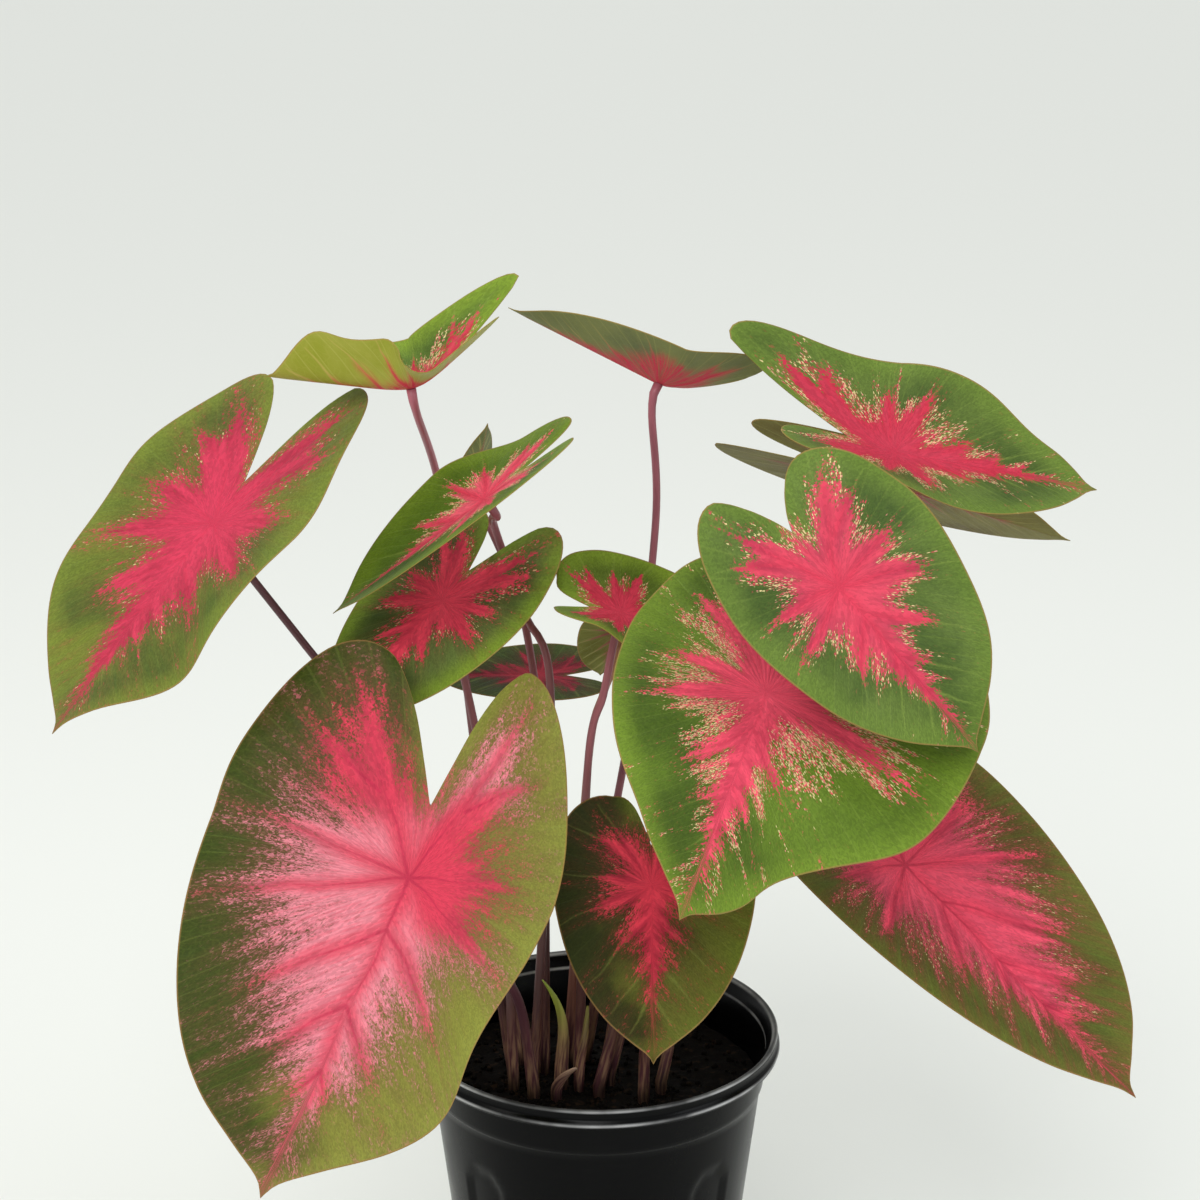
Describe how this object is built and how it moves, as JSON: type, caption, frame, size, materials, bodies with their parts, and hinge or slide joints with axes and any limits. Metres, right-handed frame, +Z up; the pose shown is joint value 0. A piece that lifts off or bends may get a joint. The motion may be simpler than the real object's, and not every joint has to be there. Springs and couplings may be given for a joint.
{
  "type": "potted caladium plant",
  "caption": "Bushy foliage plant with red-centred, speckled heart-shaped leaves on thin arching stalks, rooted in dark soil in a plain black nursery pot.",
  "frame": {"origin": "centre of the pot's flat underside", "axes": "+Z up along the pot's axis, the front of the plant towards -Y, +X to the right of someone who faces the front"},
  "size_m": [0.4614, 0.347, 0.5053],
  "materials": {
    "black_plastic": "satin",
    "potting_soil": "rough",
    "tuber_skin": "rough",
    "leaf_blade": "satin",
    "petiole": "satin",
    "young_shoot": "satin"
  },
  "bodies": {
    "root": {"pot": "black_plastic", "soil": "potting_soil", "tuber_large": "tuber_skin", "tuber_small": "tuber_skin", "blade_left": "leaf_blade", "blade_top_left": "leaf_blade", "blade_top": "leaf_blade", "blade_top_right": "leaf_blade", "blade_upper_right_back": "leaf_blade", "blade_right": "leaf_blade", "blade_right_front": "leaf_blade", "blade_centre": "leaf_blade", "blade_left_middle": "leaf_blade", "blade_left_lower": "leaf_blade", "blade_front_large": "leaf_blade", "blade_front_small": "leaf_blade", "blade_right_low": "leaf_blade", "blade_back_low": "leaf_blade", "blade_back_young": "leaf_blade", "blade_centre_hanging": "leaf_blade", "petiole_left": "petiole", "petiole_top_left": "petiole", "petiole_top": "petiole", "petiole_top_right": "petiole", "petiole_upper_right_back": "petiole", "petiole_right": "petiole", "petiole_right_front": "petiole", "petiole_centre": "petiole", "petiole_left_middle": "petiole", "petiole_left_lower": "petiole", "petiole_front_large": "petiole", "petiole_front_small": "petiole", "petiole_right_low": "petiole", "petiole_back_low": "petiole", "petiole_back_young": "petiole", "petiole_centre_hanging": "petiole", "sprout_tall": "young_shoot", "sprout_short": "young_shoot", "dry_stub": "young_shoot"}
  },
  "joints": []
}
